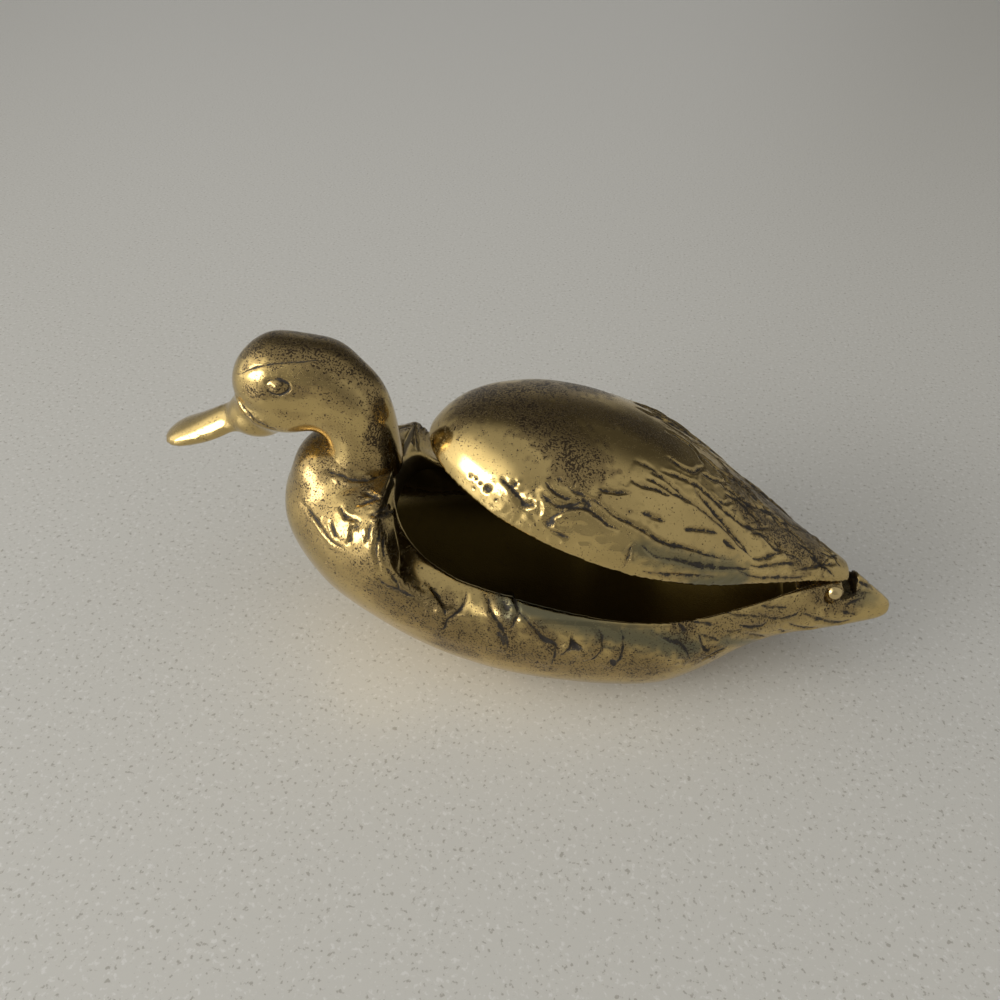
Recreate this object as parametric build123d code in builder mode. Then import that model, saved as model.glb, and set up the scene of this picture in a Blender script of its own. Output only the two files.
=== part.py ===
from build123d import *
import math
import os

# A cast brass duck box: a hollow body, a brazed head, a hinged back and its rivet.
# X runs from the bill to the tail, Z up, and the origin is the middle of the flat foot.

os.makedirs("parts", exist_ok=True)

# Overall sizes of the body
breast_reach = 73.0
tail_reach = 100.0
half_beam = 33.6
shoulder_height = 58.0
rim_height = 37.3

# Castings and fits
wall = 2.6
lid_wall = 2.2
lip_depth = 3.0
seat_gap = 0.3
running_clearance = 0.05

# The back, which is the lid, from its front edge to the tip behind its pin
lid_length = 120.2
lid_half_beam = 30.4
lid_rise = 21.7
lid_tip = 2.8
lid_rest_angle = 15.3

# The opening and the collar that rises round its front to the neck
front_gap = 4.1
side_lap = 1.2
collar_slope_run = 18.0
breast_roof = 9.5

# The hinge: a knuckle between two ears, on a rivet
pin_setback = 18.5
pin_drop = 2.9
pin_radius = 1.2
pin_head_radius = 2.3
pin_head_height = 1.6
ear_half_width = 6.9
ear_land = 0.4
knuckle_radius = 3.0
lug_width = 6.0
lug_side_gap = 0.3
lug_run = 11.0
lug_rise = 3.4
relief_drop = 2.4

# Neck, head and bill
neck_seat = 53.5
neck_back = 1.2
neck_half_length = 11.0
neck_half_width = 10.8
neck_height = 33.0
tenon_radius = 6.0
tenon_depth = 6.0
head_length = 33.6
head_height = 25.8
head_width = 22.8
head_advance = 15.6
head_centre_height = 79.0
bill_length = 23.8
bill_width = 13.6
bill_root_drop = 10.4
bill_drop = 11.8
bill_thickness = 9.6
eye_radius = 2.0
eye_stand = 0.7
eye_rise = 3.6

# Shares of the body at each station: place from breast to tail, half beam, then the heights
# of its widest line, keel and back, and the powers of its lower and upper curves
body_shares = [
    (0.000, 0.075, 0.733, 0.698, 0.776, 2.0, 2.0),
    (0.006, 0.195, 0.724, 0.612, 0.840, 2.0, 2.0),
    (0.020, 0.345, 0.707, 0.483, 0.895, 2.0, 2.0),
    (0.046, 0.490, 0.690, 0.365, 0.940, 2.0, 2.0),
    (0.092, 0.670, 0.672, 0.222, 0.980, 2.0, 2.1),
    (0.149, 0.810, 0.660, 0.122, 1.000, 2.0, 2.7),
    (0.218, 0.900, 0.600, 0.040, 1.000, 2.1, 3.0),
    (0.310, 0.967, 0.500, -0.022, 0.985, 2.2, 2.0),
    (0.402, 1.000, 0.457, -0.045, 0.980, 2.3, 2.0),
    (0.494, 1.000, 0.440, -0.045, 1.000, 2.3, 2.0),
    (0.586, 0.958, 0.431, -0.028, 1.000, 2.3, 2.0),
    (0.655, 0.875, 0.431, 0.009, 1.000, 2.3, 2.0),
    (0.707, 0.756, 0.440, 0.095, 0.966, 2.2, 2.0),
    (0.753, 0.619, 0.448, 0.195, 0.914, 2.1, 2.0),
    (0.799, 0.488, 0.448, 0.262, 0.845, 2.0, 2.0),
    (0.845, 0.387, 0.445, 0.300, 0.784, 2.0, 1.9),
    (0.891, 0.304, 0.434, 0.328, 0.716, 2.0, 1.7),
    (0.931, 0.226, 0.428, 0.352, 0.634, 2.0, 1.6),
    (0.971, 0.146, 0.428, 0.379, 0.543, 2.0, 1.6),
    (1.000, 0.054, 0.434, 0.414, 0.474, 2.0, 1.8),
]
cavity_skip_count = 3
cavity_end_count = 4

# Shares of the lid at each station: place from front to tip, half beam, rise
lid_shares = [
    (0.000, 0.070, 0.060), (0.006, 0.165, 0.140), (0.018, 0.280, 0.280), (0.037, 0.400, 0.430),
    (0.075, 0.560, 0.620), (0.120, 0.690, 0.765), (0.202, 0.852, 0.925), (0.284, 0.945, 0.993),
    (0.367, 0.990, 1.000), (0.449, 0.990, 0.955), (0.532, 0.942, 0.865), (0.614, 0.848, 0.735),
    (0.697, 0.715, 0.585), (0.779, 0.555, 0.430), (0.861, 0.385, 0.285), (0.923, 0.270, 0.190),
    (0.970, 0.195, 0.130), (1.000, 0.120, 0.085),
]

# Shares of the opening's outline: place from the lid's front to its tip, half width
opening_shares = [
    (-0.030, 0.200), (-0.017, 0.400), (0.012, 0.550), (0.083, 0.680), (0.166, 0.790), (0.255, 0.885),
    (0.371, 0.966), (0.495, 1.000), (0.627, 0.907), (0.754, 0.655), (0.890, 0.328), (0.932, 0.224),
]

# Shares of the collar's rise: place along its slope from the rim, height up to the neck seat
collar_shares = [(0.0, 0.0), (0.30, 0.09), (0.56, 0.29), (0.78, 0.59), (0.91, 0.84), (1.0, 1.0)]

# Shares of the neck at each height: height, lean forward, half length, half width
neck_shares = [
    (0.00, 0.00, 0.95, 0.95), (0.07, 0.00, 0.98, 0.98), (0.14, 0.00, 0.97, 0.97), (0.22, -0.04, 0.92, 0.91),
    (0.40, -0.03, 0.88, 0.88), (0.57, 0.00, 0.89, 0.90), (0.72, 0.18, 0.92, 0.90),
    (0.85, 0.42, 0.87, 0.83), (0.94, 0.60, 0.72, 0.68), (1.00, 0.76, 0.50, 0.50),
]

# Shares of the head at each station: place from back to brow, half height, half width, rise of its centre
head_shares = [
    (0.00, 0.10, 0.10, -0.04), (0.03, 0.34, 0.34, -0.03), (0.10, 0.60, 0.60, -0.02),
    (0.24, 0.86, 0.85, 0.00), (0.42, 0.99, 0.98, 0.00), (0.58, 1.00, 1.00, 0.00),
    (0.74, 0.90, 0.93, -0.01), (0.88, 0.68, 0.73, -0.03), (0.96, 0.44, 0.48, -0.05),
    (1.00, 0.14, 0.16, -0.06),
]

# Shares of the bill at each station: place from its root to its tip, half width, rise and drop from its
# widest line, fall of that line, and the power of its upper curve, which is a ridge at the root
bill_shares = [
    (0.00, 0.86, 1.42, 0.20, 0.16, 1.60), (0.24, 0.90, 1.38, 0.30, 0.34, 1.60), (0.44, 0.90, 1.22, 0.46, 0.53, 1.65),
    (0.62, 0.93, 1.02, 0.58, 0.73, 1.80), (0.78, 0.98, 0.78, 0.58, 0.86, 1.9), (0.90, 0.86, 0.56, 0.48, 0.95, 2.0),
    (0.97, 0.56, 0.33, 0.31, 0.995, 2.0), (1.00, 0.20, 0.12, 0.12, 1.00, 2.0),
]
hollow_skip_count = 2
hollow_end_count = 2
section_points = 16

# Places that follow from the sizes above
body_length = breast_reach + tail_reach
pin_x = tail_reach - pin_setback
pin_z = rim_height - pin_drop
lid_edge = rim_height + seat_gap
lid_front = pin_x + lid_tip - lid_length
opening_front = lid_front - front_gap
lip_height = rim_height - lip_depth
slot_half_width = lug_width / 2 + lug_side_gap
ear_radius = pin_drop
tip_height = lid_edge - pin_z + lid_rise * lid_shares[-2][2]
relief_radius = math.hypot(lid_tip, tip_height) + seat_gap
neck_x = opening_front - neck_half_length + neck_back
head_x = neck_x - head_advance


def rounded(half_width, middle, drop, rise, low_power=2, up_power=2):
    """Points round a closed section, an ellipse or a squarer form as its powers say"""
    points = []
    for step in range(section_points):
        turn = 2 * math.pi * step / section_points
        power = up_power if math.sin(turn) > 0 else low_power
        reach = rise if math.sin(turn) > 0 else drop
        across = math.copysign(abs(math.cos(turn)) ** (2 / power), math.cos(turn))
        high = math.copysign(abs(math.sin(turn)) ** (2 / power), math.sin(turn))
        points.append((half_width * across, middle + reach * high))
    return points


def hull_sections(stations, inset, lowest):
    """Sections of the body's form, drawn in by inset and going no lower than lowest"""
    sections = []
    for along, beam, middle, keel, back, low_power, up_power in stations:
        middle_z = middle * shoulder_height
        drop = middle_z - max(keel * shoulder_height + inset, lowest)
        rise = back * shoulder_height - middle_z - inset
        with BuildSketch(Plane.YZ.offset(along * body_length - breast_reach)) as section:
            with BuildLine():
                points = rounded(beam * half_beam - inset, middle_z, drop, rise, low_power, up_power)
                Spline(*points, periodic=True)
            make_face()
        sections.append(section.sketch)
    return sections


# The cavity of the bowl: the body's form less its wall, with a lip below the rim and a roof below the neck
with BuildPart() as cavity:
    loft(hull_sections(body_shares[cavity_skip_count:-cavity_end_count], wall, wall))
    with BuildSketch(Plane.XZ):
        with BuildLine():
            Polyline(
                (tail_reach, lip_height),
                (lid_front + collar_slope_run, lip_height),
                (opening_front, neck_seat - breast_roof),
                (-breast_reach, neck_seat - breast_roof),
                (-breast_reach, 2 * shoulder_height),
                (tail_reach, 2 * shoulder_height),
                close=True,
            )
        make_face()
    extrude(amount=2 * half_beam, both=True, mode=Mode.SUBTRACT)
    # The opening above the lip
    opening_half_beam = lid_half_beam - side_lap
    outline = [(lid_front + along * lid_length, beam * opening_half_beam) for along, beam in opening_shares]
    far_side = [(x, -y) for x, y in reversed(outline)]
    with BuildSketch(Plane.XY.offset(lip_height - wall)):
        with BuildLine():
            Spline((opening_front, 0), *outline, tangents=((0, 1), (1, 0)), tangent_scalars=(1, 0.2))
            Line(outline[-1], far_side[0])
            Spline(*far_side, (opening_front, 0), tangents=((-1, 0), (0, 1)), tangent_scalars=(0.2, 1))
        make_face()
    extrude(amount=2 * shoulder_height)

# Body: the cast hull with its foot, bowl, rim, collar, neck seat and hinge ears
with BuildPart() as body:
    loft(hull_sections(body_shares, 0, -shoulder_height))
    with BuildSketch(Plane.XY):
        Rectangle(4 * body_length, 4 * half_beam)
    extrude(amount=-shoulder_height, mode=Mode.SUBTRACT)
    # The rim, and the collar that climbs from it to the neck
    with BuildSketch(Plane.XZ):
        with BuildLine():
            slope = [
                (lid_front + collar_slope_run - place * (collar_slope_run + front_gap),
                 rim_height + rise * (neck_seat - rim_height))
                for place, rise in collar_shares
            ]
            Spline(*slope, tangents=((-1, 0), (0, 1)), tangent_scalars=(1, 0.5))
            Polyline(
                slope[-1],
                (opening_front, 2 * shoulder_height),
                (2 * tail_reach, 2 * shoulder_height),
                (2 * tail_reach, rim_height),
                slope[0],
            )
        make_face()
    extrude(amount=2 * half_beam, both=True, mode=Mode.SUBTRACT)
    add(cavity.part, mode=Mode.SUBTRACT)
    # The bosses under the rivet's heads
    with BuildSketch(Plane.XZ):
        with Locations((pin_x, pin_z)):
            Circle(pin_head_radius + ear_land)
    extrude(amount=ear_half_width, both=True)
    # The neck's seat and socket
    with BuildSketch(Plane.XY.offset(neck_seat)):
        with Locations((neck_x, 0)):
            Ellipse(neck_half_length + seat_gap, neck_half_width + seat_gap)
    extrude(amount=shoulder_height, mode=Mode.SUBTRACT)
    with BuildSketch(Plane.XY.offset(neck_seat)):
        with Locations((neck_x, 0)):
            Circle(tenon_radius + running_clearance)
    extrude(amount=-tenon_depth - seat_gap, mode=Mode.SUBTRACT)
    # The slot for the lug, between the ears
    slot_floor = pin_z - knuckle_radius - 2 * seat_gap
    with BuildSketch(Plane.XY.offset(slot_floor)):
        with Locations((pin_x + relief_radius, 0)):
            Rectangle(lug_run + relief_radius, 2 * slot_half_width, align=(Align.MAX, Align.CENTER))
    extrude(amount=shoulder_height, mode=Mode.SUBTRACT)
    # The room behind the ears for the lid's tip as it goes down
    with BuildSketch(Plane.XZ):
        with Locations((pin_x, pin_z)):
            Circle(relief_radius)
            Circle(ear_radius, mode=Mode.SUBTRACT)
            Rectangle(
                3 * relief_radius, 3 * relief_radius, align=(Align.MAX, Align.CENTER), mode=Mode.SUBTRACT
            )
            with Locations((0, -relief_drop)):
                Rectangle(
                    3 * relief_radius, 3 * relief_radius, align=(Align.CENTER, Align.MAX), mode=Mode.SUBTRACT
                )
    extrude(amount=half_beam, both=True, mode=Mode.SUBTRACT)
    # The rivet's hole and the flats for its heads
    with BuildSketch(Plane.XZ):
        with Locations((pin_x, pin_z)):
            Circle(pin_radius + running_clearance)
    extrude(amount=half_beam, both=True, mode=Mode.SUBTRACT)
    for side in (-1, 1):
        with BuildSketch(Plane.XZ.offset(side * ear_half_width)):
            with Locations((pin_x, pin_z)):
                Circle(pin_head_radius + ear_land)
        extrude(amount=side * half_beam, mode=Mode.SUBTRACT)
body.part.label = "body"
export_step(body.part, "parts/body.step")

def bill_sections(stations):
    """Sections of the bill, each with its widest line low down"""
    sections = []
    root_x = head_x - head_length / 4
    for along, wide, rise, drop, fall, up_power in stations:
        with BuildSketch(Plane.YZ.offset(root_x - along * (bill_length + head_length / 4))) as section:
            with BuildLine():
                middle = head_centre_height - bill_root_drop - fall * bill_drop
                half_thickness = bill_thickness / 2
                points = rounded(
                    wide * bill_width / 2, middle, drop * half_thickness, rise * half_thickness, 2, up_power
                )
                Spline(*points, periodic=True)
            make_face()
        sections.append(section.sketch)
    return sections


# Head and neck: one casting, with a round tenon into the body
with BuildPart() as head_neck:
    for high, lean, length, width in neck_shares:
        with BuildSketch(Plane.XY.offset(neck_seat + high * neck_height)):
            with Locations((neck_x - lean * neck_half_length, 0)):
                Ellipse(length * neck_half_length, width * neck_half_width)
    loft()
    with BuildSketch(Plane.XY.offset(neck_seat)):
        with Locations((neck_x, 0)):
            Circle(tenon_radius)
    extrude(amount=-tenon_depth)
    # The head
    for along, high, wide, rise in head_shares:
        with BuildSketch(Plane.YZ.offset(head_x + head_length / 2 - along * head_length)):
            with Locations((0, head_centre_height + rise * head_height)):
                Ellipse(wide * head_width / 2, high * head_height / 2)
    loft()
    # The bill
    loft(bill_sections(bill_shares))
    # The eyes
    eye_depth = math.sqrt(1 - (2 * eye_rise / head_height) ** 2) * head_width / 2
    for side in (-1, 1):
        with Locations((head_x, side * (eye_depth + eye_stand - eye_radius), head_centre_height + eye_rise)):
            Sphere(eye_radius)
head_neck.part.label = "head_neck"
export_step(head_neck.part, "parts/head_neck.step")

# Lid: the back and folded wings, a thin dome raised about the rivet, with a lug under its rear
hinge_turn = Pos(pin_x, 0, pin_z) * Rot(0, lid_rest_angle, 0) * Pos(-pin_x, 0, -pin_z)


def raised(plane):
    """The plane as it lies once the closed lid is raised to its resting angle"""
    return Plane(hinge_turn * plane.location)


def lid_sections(stations, inset):
    """Sections of the lid's form, drawn in by inset"""
    sections = []
    for along, beam, rise in stations:
        with BuildSketch(raised(Plane.YZ.offset(lid_front + along * lid_length))) as section:
            with BuildLine():
                height = rise * lid_rise - inset
                points = rounded(beam * lid_half_beam - inset, lid_edge, height, height)
                Spline(*points, periodic=True)
            make_face()
        sections.append(section.sketch)
    return sections


with BuildPart() as lid_hollow:
    loft(lid_sections(lid_shares[hollow_skip_count:-hollow_end_count], lid_wall))

with BuildPart() as lid:
    loft(lid_sections(lid_shares, 0))
    add(lid_hollow.part, mode=Mode.SUBTRACT)
    # The flat edge that lies on the rim
    with BuildSketch(raised(Plane.XY.offset(lid_edge))):
        Rectangle(4 * body_length, 4 * half_beam)
    extrude(amount=-2 * lid_rise, mode=Mode.SUBTRACT)
    # The lug, and its bore for the rivet
    with BuildSketch(raised(Plane.XZ)):
        with BuildLine():
            Polyline(
                (pin_x, pin_z - knuckle_radius),
                (pin_x - lug_run, lid_edge),
                (pin_x - lug_run, lid_edge + lug_rise),
                (pin_x, lid_edge + lug_rise / 3),
                (pin_x + knuckle_radius, pin_z),
                close=True,
            )
        make_face()
        with Locations((pin_x, pin_z)):
            Circle(knuckle_radius)
            Circle(pin_radius + running_clearance, mode=Mode.SUBTRACT)
    extrude(amount=lug_width / 2, both=True)
lid.part.label = "lid"
export_step(lid.part, "parts/lid.step")

# Hinge pin: a rivet with a domed head at each end
with BuildPart() as hinge_pin:
    with BuildSketch(Plane.XZ):
        with Locations((pin_x, pin_z)):
            Circle(pin_radius)
    extrude(amount=ear_half_width, both=True)
    dome_radius = (pin_head_radius ** 2 + pin_head_height ** 2) / (2 * pin_head_height)
    for side in (-1, 1):
        with BuildSketch(Plane.XY.offset(pin_z)):
            with BuildLine():
                seat = side * ear_half_width
                top = side * (ear_half_width + pin_head_height)
                Line((pin_x, seat), (pin_x + pin_head_radius, seat))
                RadiusArc((pin_x + pin_head_radius, seat), (pin_x, top), side * -dome_radius)
                Line((pin_x, top), (pin_x, seat))
            make_face()
        revolve(axis=Axis((pin_x, 0, pin_z), (0, 1, 0)))
hinge_pin.part.label = "hinge_pin"
export_step(hinge_pin.part, "parts/hinge_pin.step")
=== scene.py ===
import math

import bmesh
import bpy
import numpy as np
from mathutils import Matrix, Vector, noise
from mathutils.bvhtree import BVHTree
from mathutils.kdtree import KDTree


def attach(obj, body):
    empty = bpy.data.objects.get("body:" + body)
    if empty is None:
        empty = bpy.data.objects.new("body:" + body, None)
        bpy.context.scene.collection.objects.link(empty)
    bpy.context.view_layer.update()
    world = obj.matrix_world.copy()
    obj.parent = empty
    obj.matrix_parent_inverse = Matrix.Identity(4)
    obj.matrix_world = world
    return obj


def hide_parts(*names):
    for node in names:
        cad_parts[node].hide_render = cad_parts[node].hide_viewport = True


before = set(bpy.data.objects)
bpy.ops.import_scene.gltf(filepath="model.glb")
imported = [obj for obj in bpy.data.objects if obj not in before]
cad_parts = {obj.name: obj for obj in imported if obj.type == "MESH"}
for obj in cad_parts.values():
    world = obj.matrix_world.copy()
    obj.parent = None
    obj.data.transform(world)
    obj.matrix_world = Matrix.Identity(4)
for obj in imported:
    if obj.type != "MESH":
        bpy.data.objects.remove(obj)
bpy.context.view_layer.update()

scene = bpy.context.scene
MM = 0.001

# The camera, as it stood over the counter

camera_place = Vector((0.0078642, -0.1647598, 0.1865404))
camera_right = Vector((0.988486585, 0.146941663, 0.036089039))
camera_up = Vector((-0.122046523, 0.633326885, 0.764200041))
camera_back = Vector((0.089436667, -0.759806031, 0.643968849))
focal_pixels = 779.356
picture_side = 1000
sensor_width = 36

camera_data = bpy.data.cameras.new("camera")
camera_data.sensor_width = sensor_width
camera_data.lens = focal_pixels / picture_side * sensor_width
camera_data.clip_start = 0.01
camera_data.clip_end = 20
camera = bpy.data.objects.new("camera", camera_data)
camera_turn = Matrix((camera_right, camera_up, camera_back)).transposed().to_4x4()
camera.matrix_world = Matrix.Translation(camera_place) @ camera_turn
scene.collection.objects.link(camera)
scene.camera = camera


def sight(across, down):
    """Direction from the camera through a point of the picture"""
    half = picture_side / 2
    toward = camera_right * (across - half) / focal_pixels
    toward -= camera_up * (down - half) / focal_pixels
    return (toward - camera_back).normalized()


# Castings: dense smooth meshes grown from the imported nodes

weld_gap = 0.002 * MM
point_spacing = 0.4 * MM
crisp_angle = math.radians(38)
join_angle = math.radians(12)
hinge_from = 66 * MM
foot_top = 6 * MM

# How far points move to the middle of their neighbours and back, and how little those on a crisp edge do
pull, back_pull = 0.5, 0.51
crisp_softness = 0.10

# How far from a joint or a rim the smoothing reaches, and where a crisp edge ends it
join_reach = (1.5 * MM, 5.5 * MM)
join_passes = 8
rim_reach = (1.2 * MM, 2.8 * MM)
crisp_reach = (0, 3 * MM)
melt_core = 0.6

# The bowl's mouth: where its edge is looked for
rim_low = 37 * MM
mouth_front = -60 * MM
mouth_middle = Vector((10 * MM, 0))
top_least_rise = 0.45
wall_most_rise = 0.4

# The rim's slope away from the mouth, and the shoulder smoothed beside the breast, in millimetres
roll_width = 7.0
roll_slope = 0.40
roll_curve = 0.03
roll_heights = (20, 36)
roll_front = (-54, -32)
roll_rear = (46, 66)
shoulder_front = (-58, -50)
shoulder_rear = (-30, -20)
shoulder_heights = (24, 30)
shoulder_top = 46
shoulder_across = (1.2, 4)
shoulder_passes = 110

# What a casting holds at each point for its finish, and for the shade and dark reflections painted into its
# colour
finish_layers = ("chased", "tarnish_and_shade", "patina_and_reflection", "rough_and_shaded")
line_limit = 4.0

# What a carved line takes in: points that face its way, nearer or farther as the hand swings
same_side_least = 0.2
hand_wave = 1.7 * MM
hand_swing = 0.6


def welded(node):
    """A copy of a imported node's mesh with its loose triangles joined"""
    work = bmesh.new()
    work.from_mesh(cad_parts[node].data)
    bmesh.ops.remove_doubles(work, verts=work.verts, dist=weld_gap)
    work.normal_update()
    return work


def edge_points(work, chosen, level=False):
    """Points along the chosen edges, to measure gaps from; level ones are all at height 0"""
    found = []
    for edge in work.edges:
        if len(edge.link_faces) == 2 and chosen(edge):
            a, b = (v.co for v in edge.verts)
            count = max(1, int((b - a).length / point_spacing))
            found += [a.lerp(b, step / count) for step in range(count)]
    tree = KDTree(max(1, len(found)))
    for index, point in enumerate(found):
        tree.insert(Vector((point.x, point.y, 0)) if level else point, index)
    tree.balance()
    return tree


def gaps_from(tree, points):
    """How far each point is from the nearest one in the tree, or a metre from an empty tree"""
    return np.array([tree.find(Vector(p))[2] or 1 for p in points])


def evaluated(mesh, kind, **settings):
    """The mesh with one modifier applied"""
    holder = bpy.data.objects.new("holder", mesh)
    scene.collection.objects.link(holder)
    modifier = holder.modifiers.new(kind.lower(), kind)
    for key, value in settings.items():
        setattr(modifier, key, value)
    made = bpy.data.meshes.new_from_object(holder.evaluated_get(bpy.context.evaluated_depsgraph_get()))
    bpy.data.objects.remove(holder)
    return made


def rows_of(items, name, width, kind=float):
    """The named values of every item of a mesh, one row each"""
    values = np.empty(len(items) * width, kind)
    items.foreach_get(name, values)
    return values.reshape(-1, width)


def places(mesh):
    return rows_of(mesh.vertices, "co", 3)


def directions(mesh):
    return rows_of(mesh.vertex_normals, "vector", 3)


def edge_ends(mesh):
    return rows_of(mesh.edges, "vertices", 2, int)


def relaxed(points, ends, weight, passes, back=0.0):
    """Points drawn to the middle of their neighbours, and let back where the size has to stay"""
    start = np.concatenate((ends[:, 0], ends[:, 1]))
    finish = np.concatenate((ends[:, 1], ends[:, 0]))
    count = np.maximum(np.bincount(start, minlength=len(points)), 1)
    shares = (pull, -back) if back else (pull,)
    for share in shares * passes:
        sums = [np.bincount(start, points[finish, k], len(points)) for k in range(3)]
        middle = np.stack([total / count for total in sums], axis=1)
        points = points + (share * weight)[:, None] * (middle - points)
    return points


def melted(points, ends, weight, passes):
    """Only the points with some weight, drawn to the middle of their neighbours"""
    touched = weight > 0
    near = ends[touched[ends].any(axis=1)]
    index, inverse = np.unique(near, return_inverse=True)
    points = points.copy()
    points[index] = relaxed(points[index], inverse.reshape(-1, 2), weight[index], passes)
    return points


def eased(value, low, high):
    """0 at low to 1 at high, smoothly"""
    share = np.clip((value - low) / (high - low), 0, 1)
    return share * share * (3 - 2 * share)


class Casting:
    """One dense casting: its points, the push along their normals, and the finish at each of them

    grain is the size of its cells, passes the times it is relaxed, and soft the gaps from a crisp edge
    between which it turns soft. fillers are ellipsoids (centre, radii) joined to it, and melts are balls
    (centre, reach, passes) in which it is smoothed, both in millimetres.
    """

    def __init__(
        self, node, grain, passes, soft, joins_above=None, fillers=(), melts=(), rounds=0, levels=0,
        rim_slopes=False,
    ):
        work = welded(node)
        self.node = node

        def is_join(edge):
            return edge.verts[0].co.z > joins_above and edge.calc_face_angle_signed() < -join_angle

        def is_crisp(edge):
            place = edge.verts[0].co
            kept = place.z < joins_above if joins_above else place.x > hinge_from or place.z < foot_top
            return kept and edge.calc_face_angle() > crisp_angle

        def is_rim(edge):
            return edge.calc_face_angle() > crisp_angle and not is_crisp(edge)

        def is_mouth(edge):
            """Between the rim's top and a wall that faces the middle of the bowl"""
            place, faces = edge.verts[0].co, edge.link_faces
            if place.z <= rim_low or place.x <= mouth_front or edge.calc_face_angle() <= crisp_angle:
                return False
            inward = [face.normal.xy.dot(place.xy - mouth_middle) < 0 for face in faces]
            walls = [turned and face.normal.z < wall_most_rise for turned, face in zip(inward, faces)]
            return any(walls) and any(face.normal.z > top_least_rise for face in faces)

        crisp = edge_points(work, is_crisp)
        rims = edge_points(work, is_rim)
        joins = edge_points(work, is_join) if joins_above else None
        mouth = edge_points(work, is_mouth, level=True) if rim_slopes else None
        for centre, radii in fillers:
            where = Matrix.Translation(Vector(centre) * MM) @ Matrix.Diagonal((*radii, 1 / MM)) * MM
            bmesh.ops.create_icosphere(work, subdivisions=5, radius=1, matrix=where)
        mesh = bpy.data.meshes.new(node + "_work")
        work.to_mesh(mesh)
        work.free()
        self.mesh = evaluated(mesh, "REMESH", mode="VOXEL", voxel_size=grain)
        self.ends = edge_ends(self.mesh)
        points = places(self.mesh)
        weight = crisp_softness + (1 - crisp_softness) * eased(gaps_from(crisp, points), *soft)
        points = relaxed(points, self.ends, weight, passes, back_pull)
        if joins:
            points = melted(points, self.ends, 1 - eased(gaps_from(joins, points), *join_reach), join_passes)
        if mouth:
            points = self.sloped_rim(points, mouth)
        if rounds:
            weight = 1 - eased(gaps_from(rims, points), *rim_reach)
            weight = weight * eased(gaps_from(crisp, points), *crisp_reach)
            points = melted(points, self.ends, weight, rounds)
        for centre, reach, times in melts:
            gap = np.linalg.norm(points - np.array(centre) * MM, axis=1) / MM
            points = melted(points, self.ends, 1 - eased(gap, melt_core * reach, reach), times)
        self.set_points(points)
        if levels:
            self.mesh = evaluated(self.mesh, "SUBSURF", levels=levels, render_levels=levels)
            self.ends = edge_ends(self.mesh)
            self.set_points(places(self.mesh))
        faces = [tuple(face.vertices) for face in self.mesh.polygons]
        self.tree = BVHTree.FromPolygons([Vector(p) for p in self.points], faces)
        self.push = np.zeros(len(self.points))
        self.finish = {layer: np.zeros(len(self.points)) for layer in finish_layers}

    def sloped_rim(self, points, mouth):
        """The flat rim sloped down from the mouth, and the shoulder beside the breast smoothed into it"""
        across = np.minimum(gaps_from(mouth, points * (1, 1, 0)) / MM, roll_width)
        x, _, z = points.T / MM
        share = eased(z, *roll_heights) * eased(x, *roll_front) * (1 - eased(x, *roll_rear))
        drop = share * (roll_slope * across + roll_curve * across ** 2)
        points = points - np.array((0, 0, MM)) * drop[:, None]
        weight = eased(x, *shoulder_front) * (1 - eased(x, *shoulder_rear)) * eased(z, *shoulder_heights)
        weight = weight * eased(across, *shoulder_across) * (z < shoulder_top)
        return melted(points, self.ends, weight, shoulder_passes)

    def set_points(self, points):
        self.points = points
        self.mesh.vertices.foreach_set("co", points.ravel())
        self.mesh.update()
        self.normals = directions(self.mesh)

    def chase(self, which, share, strength):
        """Mark points as near the dirt of a line: share is the distance in line widths"""
        chased = self.finish["chased"]
        chased[which] = np.maximum(chased[which], line_limit - share / np.maximum(strength, 0.05))

    def seen(self, pixels):
        """Where the camera's lines through these points of the picture meet the casting"""
        hits, facing = [], []
        for across, down in pixels:
            place, normal, _, _ = self.tree.ray_cast(camera_place, sight(across, down))
            if place is not None:
                hits.append(place)
                facing.append(normal)
        return np.array(hits).reshape(-1, 3), np.array(facing).reshape(-1, 3)

    def near(self, line, facing, reach):
        """Points within reach of a line on the surface: which, how far, on which side, and how far along"""
        low, high = line.min(0) - reach, line.max(0) + reach
        near = np.flatnonzero(((self.points > low) & (self.points < high)).all(1))
        start, step = (line[:-1], np.diff(line, axis=0)) if len(line) > 1 else (line, line * 0)
        offset = self.points[near][:, None] - start
        share = np.clip((offset * step).sum(2) / ((step ** 2).sum(1) + 1e-18), 0, 1)
        away = offset - share[..., None] * step
        gaps = np.linalg.norm(away, axis=2)
        best = gaps.argmin(1)
        rows = np.arange(len(near))
        gap = gaps[rows, best]
        left = np.cross(step[best], facing[best])
        side = np.sign((left * away[rows, best]).sum(1))
        along = (best + share[rows, best]) / len(step)
        keep = (gap < reach) & ((self.normals[near] * facing[best]).sum(1) > same_side_least)
        return near[keep], self.uneven(near[keep], gap[keep]), side[keep], along[keep]

    def uneven(self, which, gap):
        """Gaps that swell and shrink along a line, as a hand chases it"""
        wave = np.array([noise.noise(Vector(p) / hand_wave) for p in self.points[which]])
        return gap * (1 - hand_swing * wave)


# Carving tools. Pixels are places in the picture, and heights, depths and widths are in millimetres.

stroke_spacing = 3.0
hand_shake = 0.25 * MM
shake_wave = 2.6 * MM
stroke_fullness = 0.6

# The shake is the same each time the piece is made
shake_seed = 1
noise.seed_set(shake_seed)

# A groove's raised edge lies this many widths out, and each tool reaches this many of its own widths or runs
lip_place = 2.2
cut_reach, lap_reach, swell_reach, stain_reach = 5, 2.5, 2.5, 2
stain_edge = (0.2, 1.7)
lap_height, lap_width, lap_run = 0.75, 0.5, 4.5

# How squarely a wall faces the hollow and how low it lies, where it counts as inside
inward_turn = (0.05, 0.4)
under_turn = (-0.30, -0.12)
deep_heights = (20 * MM, 27 * MM)

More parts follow.
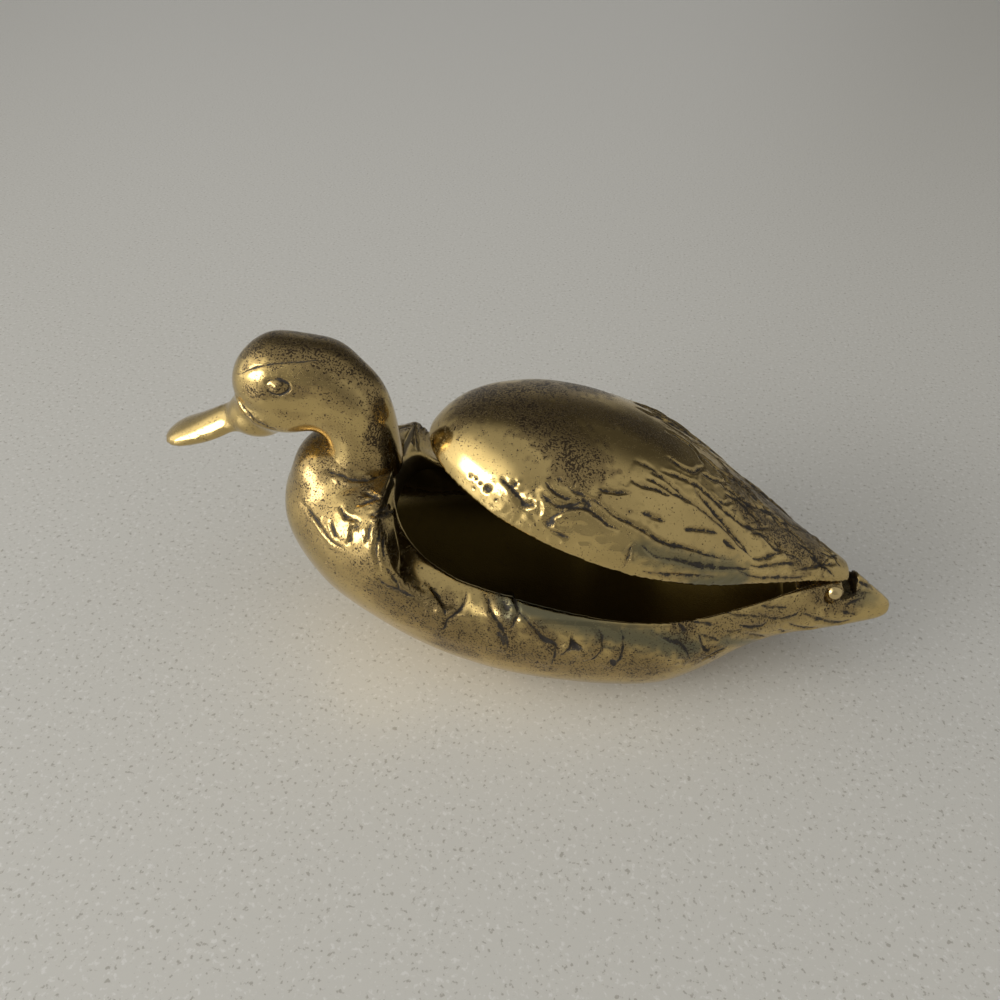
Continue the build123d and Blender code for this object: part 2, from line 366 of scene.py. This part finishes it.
# The gentle waves of the whole surface, and the last softening of the carving
surface_wave, surface_swing = 7 * MM, 0.07 * MM
last_softness, last_passes = 0.35, 2


def flowing(pixels):
    """Points along a smooth line through the given ones"""
    given = np.array(pixels, float)
    if len(given) < 2:
        return given
    reach = np.vstack((2 * given[0] - given[1], given, 2 * given[-1] - given[-2]))
    line = []
    for a, b, c, d in zip(reach, reach[1:], reach[2:], reach[3:]):
        count = max(1, int(np.ceil(np.linalg.norm(c - b) / stroke_spacing)))
        t = (np.arange(count) / count)[:, None]
        bend = (2 * a - 5 * b + 4 * c - d) * t ** 2 + (3 * b - a - 3 * c + d) * t ** 3
        line.append(0.5 * (2 * b + (c - a) * t + bend))
    return np.vstack(line + [given[-1:]])


def both_sides(casting, pixels):
    """A line of the picture on the near side of a casting, and its mirror on the far side"""
    line, facing = casting.seen(flowing(pixels))
    if len(line) == 0:
        return []
    if len(line) > 1:
        line = line + np.array([noise.noise_vector(Vector(p) / shake_wave) for p in line]) * hand_shake
    mirror = np.array((1, -1, 1))
    return [(line, facing), (line[::-1] * mirror, facing[::-1] * mirror)]


def swelling(along):
    """Full in the middle of a line and thin at its ends"""
    return np.clip(np.sin(math.pi * along), 0, 1) ** stroke_fullness


def cut(casting, pixels, depth=0.45, width=0.5, dirt=1.0, lip=0.16):
    """A chased groove with raised edges, thin at its ends, with dirt in it"""
    for line, facing in both_sides(casting, pixels):
        which, gap, _, along = casting.near(line, facing, cut_reach * width * MM)
        taper = 1 if len(line) == 1 else swelling(along)
        share = gap / (width * MM)
        raised = lip * np.exp(-((share - lip_place) ** 2))
        casting.push[which] += taper * MM * (raised - depth * np.exp(-share ** 2))
        casting.chase(which, share, taper * dirt)


def lap(casting, pixels):
    """A feather's edge: the surface swells towards the line from one side and drops at it"""
    for line, facing in both_sides(casting, pixels):
        which, gap, side, along = casting.near(line, facing, lap_reach * lap_run * MM)
        taper = swelling(along)
        reach = side * gap / MM
        rise = 0.5 * (1 + np.tanh(reach / (0.4 * lap_width))) * np.exp(-np.maximum(reach, 0) / lap_run)
        fall = 0.5 * np.exp(-(((reach + 0.7 * lap_width) / (1.3 * lap_width)) ** 2))
        casting.push[which] += taper * MM * lap_height * (rise - fall)
        casting.chase(which, np.abs(reach + 0.5 * lap_width) / lap_width, taper)


def swell(casting, pixel, height, width):
    """A soft round rise"""
    for line, facing in both_sides(casting, [pixel]):
        which, gap, _, _ = casting.near(line, facing, swell_reach * width * MM)
        casting.push[which] += height * MM * np.exp(-((gap / (width * MM)) ** 2))


def stain(casting, name, pixels, width, strength):
    """A soft patch of a finish along a line; some stains also carry painted shade and painted reflections"""
    layer = casting.finish[name]
    for line, facing in both_sides(casting, pixels):
        which, gap, _, _ = casting.near(line, facing, stain_reach * width * MM)
        value = strength * (1 - eased(gap / (width * MM), *stain_edge))
        layer[which] = np.maximum(layer[which], value)


def inner_share(casting, first, last, height):
    """1 on the rough inside of a casting, where its colour is painted dark as shade, 0 on its outside, told
    apart by a line through its hollow
    """
    points, normals = casting.points, casting.normals
    centre = points * 0
    centre[:, 0] = np.clip(points[:, 0], first, last)
    centre[:, 2] = height
    out = points - centre
    out /= np.linalg.norm(out, axis=1)[:, None] + 1e-9
    under = eased(-normals[:, 2], *under_turn)
    deep = 1 - eased(points[:, 2], *deep_heights)
    return eased(-(out * normals).sum(1), *inward_turn) * np.maximum(under, deep)


def finished(casting, name, body, most_triangles):
    """The casting as a shown piece that stands for its node"""
    wave = np.array([noise.noise(Vector(p) / surface_wave) for p in casting.points])
    casting.push += wave * surface_swing
    casting.set_points(casting.points + casting.normals * casting.push[:, None])
    softness = np.full(len(casting.points), last_softness)
    casting.set_points(relaxed(casting.points, casting.ends, softness, last_passes))
    mesh = casting.mesh
    for layer, values in casting.finish.items():
        mesh.attributes.new(layer, "FLOAT", "POINT").data.foreach_set("value", values.astype(np.float32))
    triangles = sum(len(p.vertices) - 2 for p in mesh.polygons)
    if triangles > most_triangles:
        mesh = evaluated(mesh, "DECIMATE", decimate_type="COLLAPSE", ratio=most_triangles / triangles)
    mesh.name = name
    mesh.shade_smooth()
    piece = bpy.data.objects.new(name, mesh)
    scene.collection.objects.link(piece)
    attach(piece, body)
    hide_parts(casting.node)
    return piece


# Carving, traced over the picture. A stain has its finish, its line, its width in millimetres and its
# strength. Some tarnish and patina stains also paint shade and dark reflections, as marked.

body_laps = [
    [(430, 588), (437, 597), (442, 606), (446, 617)],
    [(465, 592), (464, 601), (458, 611), (447, 619), (444, 627), (440, 633)],
    [(487, 594), (488, 606), (494, 618), (501, 628), (506, 640), (507, 654)],
    [(511, 592), (515, 603), (517, 612), (513, 622), (507, 630)],
    [(518, 612), (527, 622), (535, 631), (543, 639), (553, 643), (555, 650), (549, 668)],
    [(571, 633), (570, 643), (565, 650), (558, 655)],
    [(568, 640), (575, 646), (585, 651)],
    [(597, 627), (601, 638), (600, 650), (592, 658), (582, 662)],
    [(619, 627), (622, 640), (621, 653), (616, 663), (611, 669)],
    [(650, 631), (660, 637), (671, 642), (680, 644), (686, 652), (689, 659)],
    [(697, 633), (700, 641), (702, 648), (707, 651), (712, 646)],
]
body_cuts = [
    [(324, 472), (340, 475), (350, 479), (362, 480), (376, 477), (390, 471)],
    [(300, 500), (316, 520), (330, 540), (345, 550)],
    [(375, 575), (385, 585), (400, 590), (420, 600)],
    [(371, 520), (368, 535), (366, 545)],
    [(380, 520), (380, 535), (376, 550), (380, 572)],
    [(386, 532), (383, 545), (384, 555), (388, 565)],
    [(385, 567), (395, 580), (400, 590)],
    [(362, 490), (370, 495), (382, 499)],
    [(355, 505), (363, 503), (372, 500), (380, 498)],
    [(385, 502), (388, 507), (375, 512), (370, 515)],
    [(395, 509), (388, 514), (378, 516), (370, 514)],
    [(340, 505), (345, 515), (360, 522)],
    [(362, 520), (358, 527), (352, 530), (350, 540), (345, 545)],
    [(330, 520), (333, 530), (338, 540)],
    [(725, 611), (735, 615), (757, 617), (764, 617)],
    [(760, 606), (772, 608), (788, 608)],
    [(757, 612), (766, 617), (782, 619), (797, 614), (804, 606)],
    [(738, 625), (750, 627), (762, 626), (768, 621)],
    [(724, 631), (733, 632), (742, 629)],
    [(745, 633), (757, 636), (775, 638)],
    [(788, 622), (797, 627), (812, 628), (818, 627)],
    [(778, 630), (788, 633), (798, 635)],
    [(798, 612), (808, 615), (818, 619), (830, 622), (842, 622), (852, 619)],
    [(840, 610), (848, 613), (856, 615)],
    [(845, 607), (853, 602), (863, 598)],
    [(847, 575), (857, 580), (866, 585), (874, 590)],
    [(850, 592), (862, 593), (873, 593)],
    [(678, 621), (683, 628), (687, 634)],
    [(690, 620), (706, 624), (720, 627)],
    [(700, 634), (712, 638), (720, 641)],
    [(700, 660), (708, 655), (717, 651), (726, 648)],
]
lid_laps = [
    [(634, 461), (655, 472), (680, 495), (700, 510), (720, 527), (740, 548), (752, 559)],
    [
        (595, 503), (605, 510), (620, 520), (640, 530), (655, 540), (672, 546), (690, 550), (710, 557),
        (730, 561),
    ],
    [(499, 478), (508, 487), (515, 495), (525, 503)],
    [(544, 483), (550, 490), (560, 497), (572, 500)],
    [(540, 494), (550, 503), (560, 508), (577, 505), (590, 500)],
    [(545, 525), (557, 516), (575, 509), (590, 512), (605, 524), (620, 532)],
    [(640, 545), (655, 557), (680, 562), (700, 566), (730, 569), (752, 570)],
    [(631, 480), (640, 487), (655, 492), (668, 498)],
    [(646, 479), (660, 487), (675, 497), (695, 508)],
    [(750, 535), (760, 535), (773, 544), (782, 552), (803, 561)],
]
lid_cuts = [
    [(690, 480), (700, 495), (712, 510), (725, 525), (738, 540), (748, 552)],
    [(650, 471), (660, 477), (672, 484)],
    [(634, 542), (630, 550), (628, 558), (624, 566)],
    [(682, 529), (700, 530), (718, 534)],
    [(640, 512), (655, 518), (666, 522)],
    [(722, 540), (728, 545), (735, 549)],
    [(640, 570), (660, 573), (690, 575), (717, 576)],
    [(735, 569), (755, 577), (780, 578), (810, 577)],
    [(752, 559), (760, 559), (770, 556), (779, 554)],
    [(750, 566), (765, 567), (780, 563), (799, 564)],
    [(793, 571), (810, 568), (822, 565), (838, 563)],
    [(665, 430), (690, 445), (705, 465)],
    [(660, 420), (690, 440), (720, 460), (745, 480), (770, 505)],
    [(700, 472), (715, 480), (730, 483)],
    [(730, 475), (745, 485), (755, 490)],
    [(745, 480), (760, 492), (775, 505)],
    [(716, 480), (735, 495), (750, 505), (780, 515)],
    [(550, 529), (560, 535), (570, 538)],
    [(566, 484), (575, 492), (590, 498), (600, 502)],
    [(597, 488), (610, 492), (632, 493)],
    [(513, 483), (517, 486)],
    [(528, 503), (535, 507)],
]
head_cuts = [
    [(231, 384), (236, 396), (241, 405), (249, 414), (258, 422), (267, 427), (276, 429)],
]

body_stains = [
    # Tarnish on the breast under the chin, with painted shade where the head shades it
    ("tarnish_and_shade", [(322, 432), (306, 445), (300, 462)], 5, 1.0),
    ("tarnish_and_shade", [(322, 472), (345, 480), (372, 480), (394, 470)], 3, 0.8),
    ("tarnish_and_shade", [(350, 498), (366, 515), (378, 540), (385, 560)], 7, 0.55),
    # Tarnish along the lower flank, with painted shade towards the counter
    ("tarnish_and_shade", [(380, 590), (436, 620), (500, 650), (580, 664), (650, 668)], 7, 0.75),
    ("tarnish_and_shade", [(292, 480), (300, 520), (330, 560), (370, 590)], 5, 0.5),
    # Painted shade in the dark slot behind the hinge
    ("tarnish_and_shade", [(848, 574), (858, 590)], 4, 1.5),
    ("tarnish_and_shade", [(852, 566), (872, 582)], 3, 1.3),
    # Painted shade in the valley between the neck and the breast
    ("tarnish_and_shade", [(330, 440), (328, 460), (340, 472)], 3.4, 1.0),
    ("tarnish_and_shade", [(392, 430), (410, 426), (430, 420)], 4, 1.1),
    ("tarnish_and_shade", [(296, 470), (306, 500), (330, 530), (360, 560)], 9, 0.7),
    ("tarnish_and_shade", [(447, 598), (452, 615), (440, 636)], 2.6, 0.9),
    ("tarnish_and_shade", [(506, 625), (508, 655)], 3.4, 1.1),
    ("tarnish_and_shade", [(532, 628), (553, 645), (548, 668)], 2.8, 0.9),
    ("tarnish_and_shade", [(600, 640), (584, 660)], 2.6, 0.9),
    ("tarnish_and_shade", [(621, 650), (612, 668)], 2.6, 0.9),
    ("tarnish_and_shade", [(680, 628), (690, 655), (716, 650)], 3.2, 1.0),
    ("tarnish_and_shade", [(445, 645), (470, 652)], 4, 0.8),
    ("tarnish_and_shade", [(491, 600), (497, 640)], 3, 0.8),
    ("tarnish_and_shade", [(690, 630), (740, 625), (800, 612)], 6, 0.6),
    ("tarnish_and_shade", [(684, 622), (688, 632)], 2.5, 1.3),
    ("tarnish_and_shade", [(805, 583), (828, 594), (850, 600)], 4.5, 1.1),
    # Greenish patina on the flank and tail, also painted as the reflection of a dark teal thing
    ("patina_and_reflection", [(516, 604), (550, 614), (600, 630), (650, 640), (692, 647)], 3.2, 1.0),
    ("patina_and_reflection", [(502, 598), (508, 615)], 1.8, 0.9),
    ("patina_and_reflection", [(722, 642), (752, 642)], 1.5, 0.9),
    ("patina_and_reflection", [(846, 590), (870, 598)], 3, 0.6),
]
lid_stains = [
    # Tarnish across the lid's crown, also painted darker as the reflection of a dark ceiling
    ("tarnish_and_shade", [(478, 404), (520, 390), (580, 386), (640, 400), (690, 428)], 6.6, 1.35),
    ("tarnish_and_shade", [(560, 410), (620, 420), (670, 441)], 4, 0.8),
    ("tarnish_and_shade", [(700, 425), (740, 465), (775, 500), (805, 535)], 6, 1.0),
    ("tarnish_and_shade", [(740, 500), (770, 530), (812, 552)], 5, 1.2),
    ("tarnish_and_shade", [(510, 494), (550, 505), (600, 520)], 5, 0.35),
    # Greenish patina on the lid's lower band, also painted as the reflection of a dark teal thing
    ("patina_and_reflection", [(596, 574), (640, 580), (690, 584), (736, 582)], 3.6, 1.0),
    ("patina_and_reflection", [(640, 548), (680, 560), (732, 568)], 2.4, 0.8),
]
head_stains = [
    # Tarnish on the crown of the head, also painted darker as the reflection of a dark ceiling
    ("tarnish_and_shade", [(258, 345), (280, 334), (320, 332), (350, 350)], 5.5, 1.2),
    ("tarnish_and_shade", [(352, 362), (374, 392)], 4.5, 0.8),
    ("tarnish_and_shade", [(250, 392), (277, 391), (305, 390)], 2.2, 0.9),
    ("tarnish_and_shade", [(277, 387)], 1.3, 1.5),
    # Tarnish down the back of the neck, also painted darker as a dark reflection
    ("tarnish_and_shade", [(376, 402), (378, 446)], 3.0, 1.4),
    # Painted reflection: a dark patch on the cheek where a dark teal thing is reflected
    ("tarnish_and_shade", [(305, 372), (330, 392), (352, 402)], 4.5, 0.6),
    ("tarnish_and_shade", [(330, 425), (350, 440), (360, 455)], 3.5, 0.5),
    ("tarnish_and_shade", [(345, 468), (385, 463)], 3, 0.7),
    ("tarnish_and_shade", [(248, 414), (270, 428)], 1.4, 0.6),
    ("tarnish_and_shade", [(283, 414), (300, 416)], 2, 0.5),
]

# Ellipsoids that fill the castings out, and balls in which they are smoothed

head_fillers = [
    ((-58, 0, 82), (10, 10.5, 10.2)),
    ((-52, 0, 74), (11.2, 9.8, 12.5)),
    ((-77.5, 0, 67.6), (8.6, 8.0, 6.6)),
    ((-69, 0, 73), (14, 10.6, 8.6)),
]
head_melts = [((-53, 0, 82), 22, 110), ((-79, 0, 67), 11, 12), ((-62, 0, 72), 16, 16)]
body_fillers = [((-59.5, 0, 50.5), (10.6, 14, 12.5)), ((-52, 0, 55), (12.6, 12, 9))]
body_melts = [((-62, 0, 53), 21, 160)]

lid_blots = [
    [(521, 502), (530, 507)], [(582, 499), (592, 507)], [(546, 526), (555, 519)], [(485, 486), (491, 492)],
]
lid_pits = [
    (470, 476), (476, 479), (480, 484), (474, 488), (497, 500), (492, 506), (559, 479), (574, 486),
    (630, 512),
]
body_blots = [
    [(498, 630), (505, 645)], [(503, 600), (508, 612)], [(612, 658), (614, 666)], [(570, 642), (580, 650)],
]
eye = (277, 387)
eye_ring = [
    (266, 386), (268, 381), (275, 379), (284, 381), (289, 386), (286, 392), (278, 395), (270, 392),
    (266, 387),
]
brow = [(234, 372), (240, 374), (250, 369), (262, 366), (280, 363), (300, 362), (320, 360), (335, 362)]

# Rows of short strokes along the lid's ridge: the first one's place, the steps, and how a stroke bends
ridge_first = np.array((706, 452))
ridge_along = np.array((15, 15))
ridge_across = np.array((6, -13))
ridge_rows, ridge_strokes = 3, 8

body = Casting(
    "body", grain=0.5 * MM, passes=30, soft=(0.8 * MM, 3 * MM),
    fillers=body_fillers, melts=body_melts, rounds=9, rim_slopes=True,
)
lid = Casting("lid", grain=0.45 * MM, passes=30, soft=(0.8 * MM, 3 * MM), rounds=8)
head = Casting(
    "head_neck", grain=0.9 * MM, passes=4, soft=(0.3 * MM, 1.5 * MM), joins_above=56 * MM,
    fillers=head_fillers, melts=head_melts, levels=2,
)
for casting, laps, cuts, stains in (
    (body, body_laps, body_cuts, body_stains),
    (lid, lid_laps, lid_cuts, lid_stains),
    (head, [], head_cuts, head_stains),
):
    for line in laps:
        lap(casting, line)
    for line in cuts:
        cut(casting, line)
    for name, line, width, strength in stains:
        stain(casting, name, line, width, strength)
# The rough inside of the bowl and the lid, whose colour is also painted dark as shade
body.finish["rough_and_shaded"] = inner_share(body, -25 * MM, 60 * MM, 36 * MM)
lid.finish["rough_and_shaded"] = inner_share(lid, -10 * MM, 60 * MM, 45 * MM)
for casting, blots in ((lid, lid_blots), (body, body_blots)):
    for blot in blots:
        cut(casting, blot, depth=0.5, width=0.9, dirt=1.3)
for pit in lid_pits:
    cut(lid, [pit], depth=0.35, width=0.4, lip=0)
swell(head, eye, height=0.6, width=1.2)
cut(head, eye_ring, depth=0.3, width=0.35, dirt=1.3, lip=0.05)
cut(head, brow, depth=0.12, dirt=0.55, lip=0)
for row in range(ridge_rows):
    for step in range(ridge_strokes):
        start = ridge_first + ridge_along * step + ridge_across * row
        turn = noise.noise(Vector((row * 3.1, step * 1.7, 0)))
        bend = start + (12, 8 + 5 * turn)
        cut(lid, [start, bend, bend + (12, 13 + 4 * turn)], depth=0.3, width=0.38, dirt=1.1)

duck_body = finished(body, "hull", "duck_body", 190000)
duck_lid = finished(lid, "back", "duck_lid", 180000)
duck_head = finished(head, "head", "duck_body", 120000)

# Finishes


def put(tree, kind, inputs=None, **settings):
    """A node in the tree, with its settings and inputs given"""
    made = tree.nodes.new("ShaderNode" + kind)
    for key, value in settings.items():
        setattr(made, key, value)
    for key, value in (inputs or {}).items():
        if isinstance(value, bpy.types.NodeSocket):
            tree.links.new(value, made.inputs[key])
        else:
            made.inputs[key].default_value = value
    return made


def maths(tree, operation, first, second):
    return put(tree, "Math", {0: first, 1: second}, operation=operation).outputs[0]


def weighted(tree, *terms):
    """The sum of values, each times its weight"""
    whole = None
    for value, weight in terms:
        part = value if weight == 1 else maths(tree, "MULTIPLY", value, weight)
        whole = part if whole is None else maths(tree, "ADD", whole, part)
    return whole


def ramp(tree, value, low, high, start=0.0, end=1.0):
    """start below low, end above high, and smooth between"""
    inputs = {"Value": value, "From Min": low, "From Max": high, "To Min": start, "To Max": end}
    return put(tree, "MapRange", inputs, interpolation_type="SMOOTHSTEP").outputs[0]


def mixed(tree, share, first, second):
    return put(tree, "Mix", {0: share, 6: first, 7: second}, data_type="RGBA").outputs[2]


def grain(tree, scale, detail, roughness=0.5):
    """Even noise in the piece's own coordinates, at scale per metre"""
    where = put(tree, "TexCoord").outputs["Object"]
    inputs = {"Vector": where, "Scale": scale, "Detail": detail, "Roughness": roughness}
    return put(tree, "TexNoise", inputs).outputs["Fac"]


def painted(tree, name):
    """A finish layer that the castings hold at their points"""
    return put(tree, "Attribute", attribute_name=name).outputs["Fac"]


def group(name, sockets):
    """An empty node group with these sockets, its input node and its output node"""
    tree = bpy.data.node_groups.new(name, "ShaderNodeTree")
    for way, title, kind in sockets:
        tree.interface.new_socket(title, in_out=way, socket_type="NodeSocket" + kind)
    return tree, tree.nodes.new("NodeGroupInput"), tree.nodes.new("NodeGroupOutput")


brass_colours = ("Polished", "Worn", "Film", "Patina and reflection", "Inside", "Speck", "Dirt")
brass_amounts = ("Speck scale", "Speck share", "Polish", "Film share")

# Grains per metre, and between which values each part of the finish comes in
cloud_scale, coarse_scale = 55, 420
worn_from_to = (0.35, 0.65)
film_from_to = (0.35, 1.1)
specks_from_to = (0.645, 0.69)
dirt_from_to = (0.30, 0.95)
smear_from_to = (0.9, 3.0)
smear_strength = 0.40

# What all the brasses share
# The patina colour is a greenish grey patina and also a painted dark teal reflection
film_colour, patina_and_reflection_colour = (0.15, 0.10, 0.052), (0.14, 0.145, 0.10)
# The inside colour is rough cast brass, darkened as painted shade in the hollow
shaded_inside_colour = (0.10, 0.068, 0.017)
speck_colour, dirt_colour = (0.05, 0.033, 0.016), (0.022, 0.016, 0.010)
speck_scale = 2100.0
polish = 0.11
film_share = 0.55
relief_height, relief_strength = 0.12 * MM, 0.8


def aged_brass_group():
    """Polished brass with a dull film, black specks in its pores and dirt in its chased lines; its patina
    also paints dark reflections, and its inside colour paints shade
    """
    sockets = [("INPUT", title, "Color") for title in brass_colours]
    sockets += [("INPUT", title, "Float") for title in brass_amounts]
    sockets += [("OUTPUT", "Color", "Color")]
    sockets += [("OUTPUT", title, "Float") for title in ("Metallic", "Roughness", "Height")]
    tree, given, out = group("aged_brass", sockets)
    value = given.outputs
    tarnish_and_shade, patina_and_reflection, rough_and_shaded = (painted(tree, name) for name in ("tarnish_and_shade", "patina_and_reflection", "rough_and_shaded"))
    line = maths(tree, "SUBTRACT", line_limit, painted(tree, "chased"))
    cloud = grain(tree, cloud_scale, 3)
    fine = grain(tree, value["Speck scale"], 3, 0.6)
    coarse = grain(tree, coarse_scale, 2)

    # Where the film and the specks lie: more where it is tarnished and where shade and dark reflections are
    # painted, and in clouds
    film = ramp(tree, weighted(tree, (tarnish_and_shade, 1), (cloud, 0.5)), *film_from_to)
    film = maths(tree, "MULTIPLY", film, value["Film share"])
    wanted = maths(tree, "ADD", tarnish_and_shade, value["Speck share"])
    wanted = maths(tree, "MULTIPLY", wanted, maths(tree, "ADD", cloud, 0.5))
    specks = ramp(tree, weighted(tree, (fine, 0.8), (coarse, 0.2), (wanted, 0.1)), *specks_from_to)

    # Dirt in the chased lines with ragged edges, and a thin smear round it
    fine_swing, coarse_swing = (maths(tree, "SUBTRACT", noise_value, 0.5) for noise_value in (fine, coarse))
    ragged = weighted(tree, (line, 1), (fine_swing, 3.2), (coarse_swing, 2.6))
    dirt = ramp(tree, ragged, *dirt_from_to, 1.0, 0.0)
    smear = ramp(tree, ragged, *smear_from_to, smear_strength, 0.0)

    color = mixed(tree, ramp(tree, cloud, *worn_from_to), value["Polished"], value["Worn"])
    # Film, patina and inside colours laid over the metal: the patina also paints dark reflections, the
    # inside colour paints shade
    for share, title in (
        (maths(tree, "MAXIMUM", film, smear), "Film"),
        (maths(tree, "MULTIPLY", patina_and_reflection, 0.85), "Patina and reflection"),
        (rough_and_shaded, "Inside"),
        (specks, "Speck"),
        (dirt, "Dirt"),
    ):
        color = mixed(tree, share, color, value[title])
    dull = maths(tree, "MAXIMUM", maths(tree, "MULTIPLY", specks, 0.3), dirt)
    metal = maths(tree, "SUBTRACT", 1.0, dull)
    shine = weighted(tree, (value["Polish"], 1), (coarse, 0.08), (film, 0.14), (rough_and_shaded, 0.25), (dull, 0.4))
    pitted = maths(tree, "MULTIPLY", rough_and_shaded, fine)
    height = weighted(tree, (coarse, 0.12), (dirt, -0.9), (specks, -0.35), (pitted, 1.5))
    for title, socket in (("Color", color), ("Metallic", metal), ("Roughness", shine), ("Height", height)):
        tree.links.new(socket, out.inputs[title])
    return tree


aged_brass = aged_brass_group()


def brass(name, polished, worn, speck_share=0.35):
    """A brass for one casting, from the shared group"""
    material = bpy.data.materials.new(name)
    material.use_nodes = True
    tree = material.node_tree
    shader = tree.nodes["Principled BSDF"]
    wear = tree.nodes.new("ShaderNodeGroup")
    wear.node_tree = aged_brass
    colours = (polished, worn, film_colour, patina_and_reflection_colour, shaded_inside_colour, speck_colour, dirt_colour)
    for title, colour in zip(brass_colours, colours):
        wear.inputs[title].default_value = (*colour, 1)
    for title, amount in zip(brass_amounts, (speck_scale, speck_share, polish, film_share)):
        wear.inputs[title].default_value = amount
    tree.links.new(wear.outputs["Color"], shader.inputs["Base Color"])
    tree.links.new(wear.outputs["Metallic"], shader.inputs["Metallic"])
    tree.links.new(wear.outputs["Roughness"], shader.inputs["Roughness"])
    heights = {"Height": wear.outputs["Height"], "Distance": relief_height, "Strength": relief_strength}
    relief = put(tree, "Bump", heights)
    tree.links.new(relief.outputs["Normal"], shader.inputs["Normal"])
    return material


def dress(piece, material):
    piece.data.materials.clear()
    piece.data.materials.append(material)


dress(duck_body, brass("hull_brass", (0.62, 0.46, 0.19), (0.51, 0.38, 0.16)))
dress(duck_lid, brass("back_brass", (0.63, 0.47, 0.195), (0.52, 0.385, 0.16)))
dress(duck_head, brass("head_brass", (0.60, 0.445, 0.185), (0.51, 0.38, 0.16)))
rivet_brass = brass("rivet_brass", (0.72, 0.57, 0.28), (0.64, 0.49, 0.24), speck_share=0.05)
dress(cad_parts["hinge_pin"], rivet_brass)

# Counter, lamp and room

counter_reach = 3
counter_drop = 0.05 * MM
corners = [(x * counter_reach, y * counter_reach, 0) for x, y in ((-1, -1), (1, -1), (1, 1), (-1, 1))]
counter_mesh = bpy.data.meshes.new("counter")
counter_mesh.from_pydata(corners, [], [(0, 1, 2, 3)])
counter = bpy.data.objects.new("counter", counter_mesh)
counter.location.z = -counter_drop
scene.collection.objects.link(counter)
stone = bpy.data.materials.new("counter_stone")
stone.use_nodes = True
stone_tree = stone.node_tree
stone_shader = stone_tree.nodes["Principled BSDF"]
stone_base, pale_grit, dark_grit = (0.76, 0.75, 0.715, 1), (0.88, 0.87, 0.85, 1), (0.52, 0.50, 0.46, 1)
grit_scale, pale_from_to, dark_from_to = 700, (0.56, 0.70), (0.40, 0.30)
stone_roughness = 0.32
grit = grain(stone_tree, grit_scale, 2, 0.6)
stone_color = mixed(stone_tree, ramp(stone_tree, grit, *pale_from_to), stone_base, pale_grit)
stone_color = mixed(stone_tree, ramp(stone_tree, grit, *dark_from_to), stone_color, dark_grit)
stone_tree.links.new(stone_color, stone_shader.inputs["Base Color"])
stone_shader.inputs["Roughness"].default_value = stone_roughness
counter_mesh.materials.append(stone)

# Soft parts of the room: azimuth from +Y towards +X, elevation, where each part ends and where it is whole,
# in degrees, and its colour
room_parts = [
    (0, 30, 62, 36, (0.075, 0.072, 0.068)),
    (-14, 4, 36, 16, (0.33, 0.33, 0.33)),
    (-120, 9, 52, 27, (1.75, 1.7, 1.55)),
    (180, 12, 50, 20, (0.30, 0.295, 0.28)),
]
room_color = (0.45, 0.445, 0.43, 1)

room = bpy.data.worlds.new("room")
scene.world = room
room.use_nodes = True
room_tree = room.node_tree
way = put(room_tree, "TexCoord").outputs["Generated"]
for *angles, colour in room_parts:
    azimuth, elevation, end, whole = (math.radians(angle) for angle in angles)
    level = math.cos(elevation)
    aim = (math.sin(azimuth) * level, math.cos(azimuth) * level, math.sin(elevation))
    toward = put(room_tree, "VectorMath", {0: way, 1: aim}, operation="DOT_PRODUCT").outputs["Value"]
    share = ramp(room_tree, toward, math.cos(end), math.cos(whole))
    room_color = mixed(room_tree, share, room_color, (*colour, 1))
background = room_tree.nodes["Background"]
room_tree.links.new(room_color, background.inputs["Color"])
background.inputs["Strength"].default_value = 1

window_place = Vector((-1.0, -0.75, 0.42))
window_aim = Vector((0, 0, 0.03))
window_data = bpy.data.lights.new("window", "AREA")
window_data.shape = "RECTANGLE"
window_data.size, window_data.size_y = 0.75, 0.5
window_data.energy = 7.6
window_data.color = (1, 0.98, 0.93)
window = bpy.data.objects.new("window", window_data)
window.location = window_place
window.rotation_mode = "QUATERNION"
window.rotation_quaternion = (window_aim - window_place).to_track_quat("-Z", "Y")
scene.collection.objects.link(window)

scene.view_settings.view_transform = "Standard"
